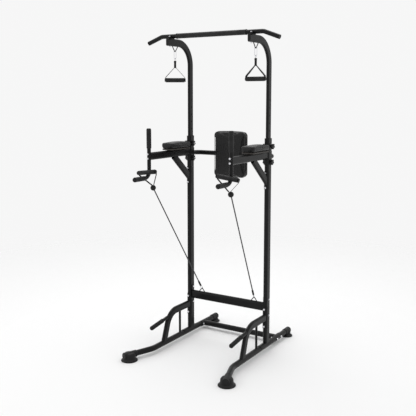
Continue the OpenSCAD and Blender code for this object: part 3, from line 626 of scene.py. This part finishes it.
# %% Sleeve outline
def sleeve(r_in, r_out, length, lip=0.0, ribs=0.0, n=240):
    """A closed (r, h) loop, centred on h = 0. lip raises a band at both ends, and ribs
    is the depth of rings 4.5 mm apart: r = r_out - ribs * (1 + cos(2 pi h / 4.5 mm)) / 2."""
    l, top = length / 2, r_out
    corners = [(r_in, -l), (top + lip - 0.0012, -l), (top + lip, -l + 0.0015)]
    if lip:
        corners += [(top + lip, -l + 0.008), (top, -l + 0.0095)]
    corners += [(r, -h) for r, h in reversed(corners)]
    loop = eased(corners, n, 0.0012, loop=True)
    outer = (loop[:, 0] > (r_in + r_out) / 2) & (np.abs(loop[:, 1]) < l - 0.006)
    loop[:, 0] -= outer * ribs * (1 + np.cos(2 * np.pi * loop[:, 1] / 0.0045)) / 2
    return loop


grip = turned(
    "bar_grip_foam", sleeve(0.01405, 0.0165, 0.526, lip=0.0012), middle("bar_grip"), (1, 0, 0),
    loop=True,
)
dress(grip, "grip_foam", "top_frame", "bar_grip")

UPRIGHT_X = 0.304
POST_Y, HIGH_GRIP_Z, LOW_GRIP = -0.322, 1.438, (-0.424, 1.188)
PUSHUP_TIP, PUSHUP_RISE, PUSHUP_GRIP = (-0.316, 0.179), (0, 0.193, 0.027), 0.130
for side, sign in SIDES.items():
    x = UPRIGHT_X * sign
    upper = turned(
        f"post_grip_upper_{side}", sleeve(0.01255, 0.0155, 0.124), (x, POST_Y, HIGH_GRIP_Z), (0, 0, 1),
        loop=True,
    )
    lower = turned(
        f"post_grip_lower_{side}", sleeve(0.01255, 0.0155, 0.104), (x, *LOW_GRIP), (0, 1, 0), loop=True
    )
    tip, slope = np.array([x, *PUSHUP_TIP]), unit(PUSHUP_RISE)
    push = turned(
        f"pushup_grip_{side}", sleeve(0.01105, 0.0143, PUSHUP_GRIP, ribs=0.0012, n=620),
        tip + slope * PUSHUP_GRIP / 2, slope, loop=True,
    )
    dress(upper, "grip_foam", "frame", "post_grips")
    dress(lower, "grip_foam", "frame", "post_grips")
    dress(push, "foot_rubber", "frame", "pushup_grips")

# %% [markdown]
# ## Webbing handles
#
# A webbing handle is one strap: it leaves a collar, runs down to one end of the grip,
# through the grip's core, and back up from the other end. Only the two legs show.
# Each leg is a flat section carried along a line with one soft corner. It narrows
# where it is gathered into the collar. The hanging pair ends in a moulded collar under
# its snap hook. The band pair ends in the rubber ball.

# %% One handle
def handle(tag, origin, along, up, half, rise, gap, width, neck, strap_body, grip_body, nodes):
    """origin is the grip's middle, along its axis, and up the way its legs run. The legs
    start half from the middle, climb rise, and end gap from the middle. The webbing is
    width wide below and neck wide at the top. nodes are the CAD strap and grip."""
    origin, along, up = np.asarray(origin), unit(along), unit(up)
    across = np.cross(along, up)
    legs = []
    for s in (-1, 1):
        knots = [(s * half, -0.009), (s * half, 0.0175), (s * gap, rise)]
        line = eased(knots, 90, 0.006)
        path = origin + line[:, :1] * along + line[:, 1:] * up
        share = np.clip((line[:, 1] - 0.45 * rise) / (0.5 * rise), 0, 1)
        widths = width + (neck - width) * share**2 * (3 - 2 * share)
        flat = outline(1.0, 0.0026, 0.0012, 6)
        section = flat[None] * np.stack([widths, np.ones(90)], 1)[:, None]
        legs.append(carried("leg", section, path, across))
    strap = joined(f"strap_web_{tag}", legs)
    dress(strap, "webbing", strap_body, *nodes[:1])

    plugs = []
    for s in (-1, 1):
        rim = [
            (0, half - 0.012), (0.0049, half - 0.012), (0.0049, half + 0.0016),
            (0.0120, half + 0.0016), (0.0126, half + 0.0034), (0.0104, half + 0.0052),
            (0, half + 0.0058),
        ]
        plugs.append(turned("plug", eased(rim, 60, 0.0010), origin, along * s, 32))
    dress(joined(f"grip_plugs_{tag}", plugs), "black_plastic", strap_body)

    body = turned(
        f"handle_foam_{tag}", sleeve(0.00505, 0.0145, 2 * half - 0.0038), origin, along, loop=True
    )
    dress(body, "grip_foam", grip_body, *nodes[1:])


# %% The hanging pair and the band pair
# How far each hanging handle has turned on its hook, in degrees
HAND_TURN = {"left": 32, "right": 2}
for side, sign in SIDES.items():
    turn_by = math.radians(HAND_TURN[side])
    hand = middle(f"hand_grip_{side}")
    handle(
        f"hanging_{side}", hand, (math.cos(turn_by), math.sin(turn_by), 0), (0, 0, 1),
        half=0.065, rise=0.085, gap=0.003, width=0.025, neck=0.014,
        strap_body=f"strap_{side}", grip_body=f"hand_grip_{side}",
        nodes=[f"strap_{side}", f"hand_grip_{side}"],
    )
    base, top = 0.080, 0.128
    shape = [
        (0, base), (0.0070, base), (0.0078, base + 0.003), (0.0074, base + 0.016),
        (0.0074, top - 0.016), (0.0085, top - 0.006), (0.0080, top), (0, top),
    ]
    collar = turned(f"strap_collar_{side}", eased(shape, 90, 0.002), hand, (0, 0, 1), 36)
    dress(collar, "sleeve_rubber", f"strap_{side}")

    band = middle(f"band_grip_{side}")
    handle(
        f"band_{side}", band, (sign * 0.990268, 0.064577, -0.123284),
        (-sign * 0.13917, 0.45950, -0.87720),
        half=0.072, rise=0.1025, gap=0.004, width=0.010, neck=0.009,
        strap_body=f"band_{side}", grip_body=f"band_grip_{side}",
        nodes=[f"yoke_{side}", f"band_grip_{side}"],
    )
print("handles made")

# %% [markdown]
# The ball is moulded rubber. Its outline is a half circle with a fine parting line
# round the middle and a raised lip where the cord goes in. It is turned about the cord.

# %% Balls
def ball_outline():
    """r = R sin t, h = -R cos t, less a narrow bell curve at the equator and plus a wide
    one at the cord's end, where a lip stands up."""
    t = np.linspace(0, np.pi, 110)
    r, h = BALL_R * np.sin(t), -BALL_R * np.cos(t)
    r = r - 0.0005 * np.exp(-((h / 0.0007) ** 2))
    h = h - 0.0016 * np.exp(-(((r - 0.0062) / 0.0016) ** 2)) * (t < 1)
    return np.stack([np.where((t == 0) | (t == np.pi), 0, r), h], 1)


for side, sign in SIDES.items():
    flip = np.array([sign, 1, 1])
    ball = turned(f"stop_ball_{side}", ball_outline(), BALL * flip, (BALL - LOW_EYE) * flip, 48)
    dress(ball, "sleeve_rubber", f"band_{side}")
print("ball radius", BALL_R)

# %% [markdown]
# ## Feet
#
# Each rail ends in a heavy rubber boot: a flared round base, a soft dome, and a short
# thick sleeve that grips the rail. The boot is its outline turned about the vertical,
# and the sleeve is turned about the rail.

# %% Boots
CUFF_R, CUFF_Z = 0.0222, 0.037


def boot(name, x, y, r, way):
    """Dome outline of foot radius r turned about the vertical, and a sleeve of radius
    CUFF_R along way."""
    rim = [
        (0, 0), (r, 0), (r, 0.006), (r - 0.003, 0.0085), (r - 0.013, 0.017), (r - 0.016, 0.041),
        (r - 0.024, 0.052), (0, 0.055),
    ]
    dome = turned("dome", eased(rim, 120, 0.004), (x, y, 0), (0, 0, 1), 72)
    reach = r - 0.012
    tube = [
        (0, -reach), (0.0205, -reach), (CUFF_R, -reach + 0.002), (CUFF_R, reach + 0.008),
        (0.0205, reach + 0.010), (0.0193, reach + 0.010), (0, reach + 0.010),
    ]
    cuff = turned("cuff", eased(tube, 90, 0.002), (x, y, CUFF_Z), way, 48)
    return joined(name, [dome, cuff])


SPLAY = math.radians(20)
FRONT_X, FRONT_Y, FRONT_R = 0.3669, -0.473, 0.055
REAR_Y, REAR_R = 0.486, 0.042
for side, sign in SIDES.items():
    along_rail = (-sign * math.sin(SPLAY), math.cos(SPLAY), 0)
    front = boot(f"boot_front_{side}", FRONT_X * sign, FRONT_Y, FRONT_R, along_rail)
    rear = boot(f"boot_rear_{side}", UPRIGHT_X * sign, REAR_Y, REAR_R, (0, -1, 0))
    dress(front, "foot_rubber", "frame", "feet")
    dress(rear, "foot_rubber", "frame", "feet")
print("boots made")

# %% [markdown]
# ## Cushions
#
# The two arm pads and the back pad are foam blocks wrapped in synthetic leather and
# stapled to a board. A block with bevelled edges looks hard. A cloth simulation under
# slight inner pressure crowns the top and pulls the sides in between the corners, as
# a tight cover does. The pad starts a little small, its base is held, and no point
# may move further than a cap, so it ends within 1.5 mm of the space the CAD gives it.

# %% The block before it swells
def block(name, w, l, t, corner, place):
    """Rings of outline(w - 2 i, l - 2 i), where the inset i and height h follow an eased
    path over the base, up the side and across the top. place maps (a, b, h) to the room."""
    most = min(w, l) / 2 - 0.0005
    edge = [
        (most, 0), (0.008, 0), (0.0015, 0.010), (0, 0.016), (0, t - 0.010), (0.002, t - 0.002),
        (0.010, t), (most, t),
    ]
    steps = eased(edge, 120, 0.004)
    rings = np.stack([outline(w - 2 * i, l - 2 * i, max(corner - i, 0.0004)) for i, h in steps])
    heights = np.broadcast_to(steps[:, 1][:, None, None], rings.shape[:2] + (1,))
    grid = np.concatenate([rings, heights], -1)
    poles = [np.broadcast_to(row.mean(0), (1,) + row.shape) for row in (grid[0], grid[-1])]
    grid = np.concatenate([poles[0], grid, poles[1]])
    return surface(name, place(grid))


def points_of(mesh):
    """A mesh's points as rows of x, y, z."""
    flat = np.empty(len(mesh.vertices) * 3, np.float32)
    mesh.vertices.foreach_get("co", flat)
    return flat.reshape(-1, 3).astype(float)


def swell(piece, pressure, cap, height_of):
    """Remeshes the block evenly, lets cloth pressure fill it for 20 frames, and moves
    each point by the cloth's shift, cut to cap metres at most."""
    even = piece.modifiers.new("even", "REMESH")
    even.mode, even.voxel_size = "VOXEL", 0.005
    graph = bpy.context.evaluated_depsgraph_get()
    fresh = bpy.data.meshes.new_from_object(piece.evaluated_get(graph))
    piece.modifiers.clear()
    piece.data = fresh
    start = points_of(fresh)
    held = piece.vertex_groups.new(name="held")
    held.add(np.flatnonzero(height_of(start) < 0.004).tolist(), 1.0, "REPLACE")
    cloth = piece.modifiers.new("cloth", "CLOTH")
    rules = cloth.settings
    rules.quality, rules.mass, rules.time_scale = 6, 0.25, 1.0
    rules.tension_stiffness = rules.compression_stiffness = rules.shear_stiffness = 18
    rules.bending_stiffness = 1.5
    rules.use_pressure, rules.uniform_pressure_force = True, pressure
    rules.effector_weights.gravity = 0
    rules.vertex_group_mass = "held"
    cloth.point_cache.frame_start, cloth.point_cache.frame_end = 1, 20
    for step in range(1, 21):
        scene.frame_set(step)
    graph = bpy.context.evaluated_depsgraph_get()
    moved = points_of(piece.evaluated_get(graph).to_mesh())
    piece.modifiers.clear()
    piece.vertex_groups.clear()
    scene.frame_set(1)
    shift = moved - start
    size = np.linalg.norm(shift, axis=1, keepdims=True)
    print(piece.name, "swelled by up to", round(float(size.max()) * 1000, 1), "mm")
    shift *= np.minimum(1, cap / np.maximum(size, 1e-9))
    return start + shift


# %% Make the three cushions
# Width, length, thickness and corner radius
ARM_PAD = (0.100, 0.230, 0.042, 0.018)
BACK_PAD = (0.250, 0.322, 0.047, 0.034)
SLACK = 0.0015


def cushion(name, node, w, l, t, corner, origin, a_axis, b_axis, h_axis, cap):
    """w, l and t are the cushion's full size. The block starts 6 mm narrower and shorter
    and 4 mm lower, no point moves further than cap, and all are kept inside the CAD
    node's box, grown by SLACK."""
    a_axis, b_axis, h_axis, origin = (np.array(v, float) for v in (a_axis, b_axis, h_axis, origin))

    def place(g):
        return origin + g[..., :1] * a_axis + g[..., 1:2] * b_axis + g[..., 2:] * h_axis

    piece = block(name, w - 0.006, l - 0.006, t - 0.004, corner - 0.002, place)
    points = swell(piece, 4.0, cap, lambda p: (p - origin) @ h_axis)
    lo, hi = (np.array(c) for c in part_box(node))
    points = np.clip(points, lo - SLACK, hi + SLACK)
    height = (points - origin) @ h_axis
    points = points - np.minimum(height, 0)[:, None] * h_axis
    piece.data.vertices.foreach_set("co", points.astype(np.float32).ravel())
    piece.data.polygons.foreach_set("use_smooth", np.ones(len(piece.data.polygons), bool))
    piece.data.update()
    smooth = piece.modifiers.new("smooth", "SUBSURF")
    smooth.levels = smooth.render_levels = 1
    piece.data.materials.clear()
    dress(piece, "pad_leather", "frame", node)
    print(name, "points", len(points))
    return points, place


cushions = {}
for side, sign in SIDES.items():
    lo, hi = (np.array(c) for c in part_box(f"arm_pad_{side}"))
    foot = ((lo + hi) / 2 * [1, 1, 0]) + [0, 0, lo[2] + 0.0003]
    cushions[f"arm_{side}"] = cushion(
        f"arm_cushion_{side}", f"arm_pad_{side}", *ARM_PAD, foot,
        (1, 0, 0), (0, 1, 0), (0, 0, 1), 0.006,
    )
lo, hi = (np.array(c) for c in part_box("back_pad"))
foot = ((lo + hi) / 2 * [1, 0, 1]) + [0, hi[1] - 0.0003, 0]
cushions["back"] = cushion(
    "back_cushion", "back_pad", *BACK_PAD, foot,
    (1, 0, 0), (0, 0, 1), (0, -1, 0), 0.009,
)

# %% [markdown]
# The cover's top panel is sewn to its side band. The seam is a thin raised welt that
# follows the edge, and a row of stitches runs inside it. Both are laid on the swollen
# skin: each point of a plain outline is moved to the nearest point of the cushion.

# %% Welt and stitches
# Rings along a stitch, and points round each
STITCH_RINGS, STITCH_SIDES = 5, 6


def on_skin(line, points):
    """The nearest cushion points to a line's, averaged along it so that it runs smooth."""
    gap = ((line[:, None] - points[None]) ** 2).sum(2)
    near = np.argsort(gap, axis=1)[:, :5]
    mean = points[near].mean(1)
    return eased(mean, len(line), 0.006, loop=True)


def stitches(name, line, step, length, r, lift):
    """One short spindle per stitch: r falls to nothing at both ends as sin(u)."""
    s = np.concatenate([[0], np.cumsum(np.linalg.norm(np.diff(line, axis=0), axis=1))])
    at = np.arange(0, s[-1], step)
    centre = np.stack([np.interp(at, s, line[:, k]) for k in range(3)], 1)
    ahead = np.stack([np.interp(at + 0.001, s, line[:, k]) for k in range(3)], 1)
    tangent = unit(ahead - centre + 1e-9)
    side = unit(np.cross(tangent, lift))
    up = np.cross(side, tangent)
    u = np.linspace(0.15, np.pi - 0.15, STITCH_RINGS)
    v = np.linspace(0, 2 * np.pi, STITCH_SIDES, endpoint=False)
    ring = np.cos(v)[:, None] * side[:, None, None] + np.sin(v)[:, None] * up[:, None, None]
    run = -np.cos(u)[:, None, None] * tangent[:, None, None] * length / 2
    grid = centre[:, None, None] + run + (r * np.sin(u))[:, None, None] * ring
    n, nu, nv = grid.shape[:3]
    i, j = np.meshgrid(np.arange(nu - 1), np.arange(nv), indexing="ij")
    quad = np.stack([i * nv + j, i * nv + (j + 1) % nv, (i + 1) * nv + (j + 1) % nv, (i + 1) * nv + j], -1)
    faces = (quad.reshape(1, -1, 4) + (np.arange(n) * nu * nv)[:, None, None]).reshape(-1, 4).tolist()
    start = np.arange(n)[:, None] * nu * nv + np.arange(nv)
    faces += start[:, ::-1].tolist() + (start + (nu - 1) * nv).tolist()
    mesh = bpy.data.meshes.new(name)
    mesh.from_pydata(grid.reshape(-1, 3).tolist(), [], faces)
    work = bmesh.new()
    work.from_mesh(mesh)
    bmesh.ops.recalc_face_normals(work, faces=work.faces)
    work.to_mesh(mesh)
    work.free()
    piece = bpy.data.objects.new(name, mesh)
    scene.collection.objects.link(piece)
    return piece


def sewn_edge(tag, w, l, t, corner, lift):
    """A welt 7 mm below the top panel, and stitches 11 mm in from the cushion's edge."""
    points, place = cushions[tag]
    circle = np.linspace(0, 2 * np.pi, 10, endpoint=False)
    bead = 0.0011 * np.stack([np.cos(circle), np.sin(circle)], 1)
    edge = outline(w - 0.004, l - 0.004, corner - 0.002, 40)
    line = on_skin(place(np.concatenate([edge, np.full((len(edge), 1), t - 0.007)], 1)), points)
    welt = carried(f"welt_{tag}", bead, line, lift, loop=True)
    dress(welt, "pad_leather", "frame")
    inner = outline(w - 0.022, l - 0.022, corner - 0.006, 40)
    row = on_skin(place(np.concatenate([inner, np.full((len(inner), 1), t)], 1)), points)
    thread = stitches(f"stitches_{tag}", row, 0.0055, 0.0040, 0.00045, lift)
    dress(thread, "webbing", "frame")
    count = len(thread.data.vertices) // (STITCH_RINGS * STITCH_SIDES)
    print(tag, "welt", len(line), "points; stitches", count)


for side in SIDES:
    sewn_edge(f"arm_{side}", *ARM_PAD, np.array([0.0, 0.0, 1.0]))
sewn_edge("back", *BACK_PAD, np.array([0.0, -1.0, 0.0]))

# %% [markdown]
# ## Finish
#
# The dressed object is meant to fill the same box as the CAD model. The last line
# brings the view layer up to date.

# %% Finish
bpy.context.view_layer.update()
